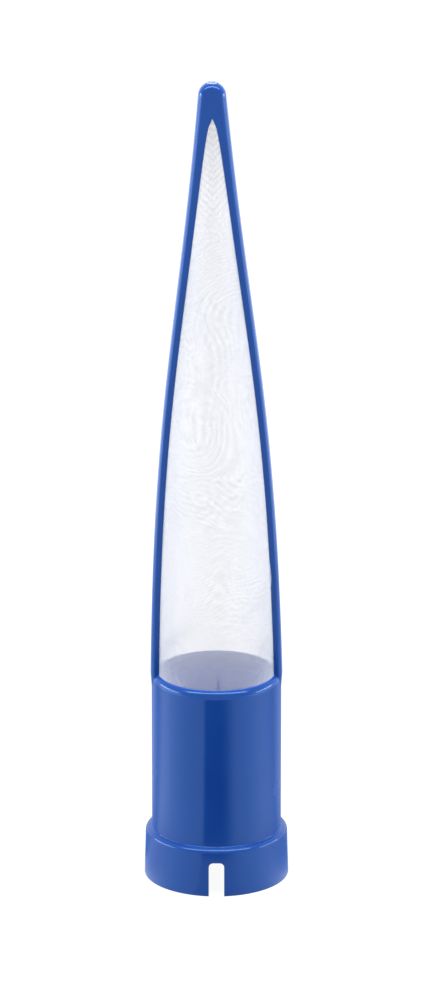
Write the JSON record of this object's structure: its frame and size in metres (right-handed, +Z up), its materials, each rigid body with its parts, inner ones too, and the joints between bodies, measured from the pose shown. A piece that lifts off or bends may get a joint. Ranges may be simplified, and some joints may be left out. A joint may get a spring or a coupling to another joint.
{
  "type": "urea filter",
  "caption": "Tall filler-neck strainer: a slotted flange, a collar and two ribs that meet in a tip are one moulding, round a closed cone of fine mesh.",
  "frame": {"origin": "middle of the flange's foot", "axes": "+Z up along the filter's axis to its tip, the slot in the flange faces -Y, the two ribs stand at +X and -X"},
  "size_m": [0.048, 0.0479, 0.272],
  "materials": {
    "blue_plastic": "satin moulded plastic",
    "white_mesh": "fine plain-weave nylon mesh, translucent"
  },
  "bodies": {
    "root": {"frame": "blue_plastic", "mesh_sock": "white_mesh"}
  },
  "joints": []
}
